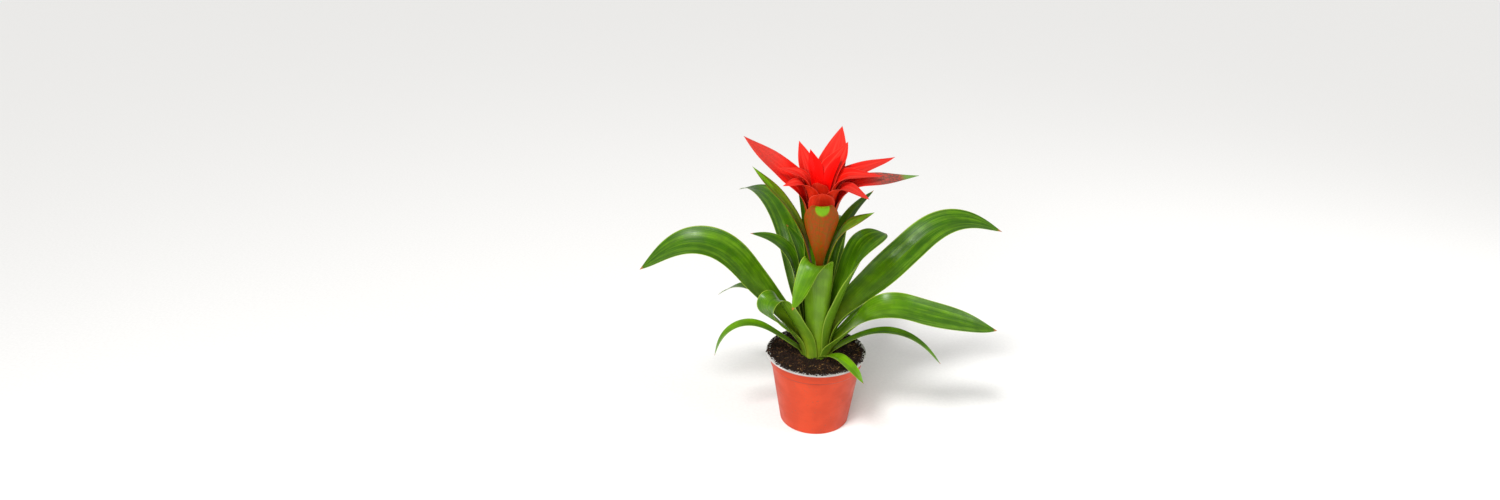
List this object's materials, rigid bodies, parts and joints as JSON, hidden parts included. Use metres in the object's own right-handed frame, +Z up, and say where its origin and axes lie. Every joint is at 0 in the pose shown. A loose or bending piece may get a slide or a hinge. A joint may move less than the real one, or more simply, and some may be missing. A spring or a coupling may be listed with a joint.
{
  "type": "potted bromeliad",
  "caption": "Flowering bromeliad in a round nursery pot: rosette of arching strap leaves around an upright stalk that ends in a star of red bracts.",
  "frame": {"origin": "centre of the pot's flat base, on the surface the pot stands on", "axes": "+Z up along the pot's axis and the flower stalk; -Y toward the side that is seen in front; +X to the right of that view, along the two widest leaves"},
  "size_m": [0.4378, 0.2778, 0.3469],
  "materials": {
    "pot_plastic": "satin",
    "soil": "matte",
    "stem": "satin",
    "leaf": "satin",
    "scape_bract": "satin",
    "red_bract": "satin"
  },
  "bodies": {
    "root": {"pot": "pot_plastic", "potting_soil": "soil", "flower_stem": "stem", "leaf_front_droop": "leaf", "leaf_left_thin": "leaf", "leaf_right_thin": "leaf", "leaf_right_back_thin": "leaf", "leaf_back_low": "leaf", "leaf_back_left_low": "leaf", "leaf_right_low": "leaf", "leaf_left_wide": "leaf", "leaf_back_right_wide": "leaf", "leaf_left_folded": "leaf", "leaf_right_wide": "leaf", "leaf_back_wide": "leaf", "leaf_right_upright": "leaf", "leaf_left_curled": "leaf", "leaf_front_folded": "leaf", "leaf_back_right_upright": "leaf", "leaf_back_left_pointed": "leaf", "leaf_tall": "leaf", "scape_bract_left": "scape_bract", "scape_bract_right": "scape_bract", "scape_bract_front": "scape_bract", "scape_bract_back": "scape_bract", "petal_long_left": "red_bract", "petal_long_right": "red_bract", "petal_front_lip": "red_bract", "petal_back": "red_bract", "petal_front_right": "red_bract", "petal_back_left": "red_bract", "petal_front_left": "red_bract", "petal_right_back": "red_bract", "petal_right": "red_bract", "petal_left": "red_bract", "petal_back_right": "red_bract", "petal_front": "red_bract", "heart_bract_left": "red_bract", "heart_bract_front": "red_bract", "heart_bract_right": "red_bract", "heart_bract_side": "red_bract"}
  },
  "joints": []
}
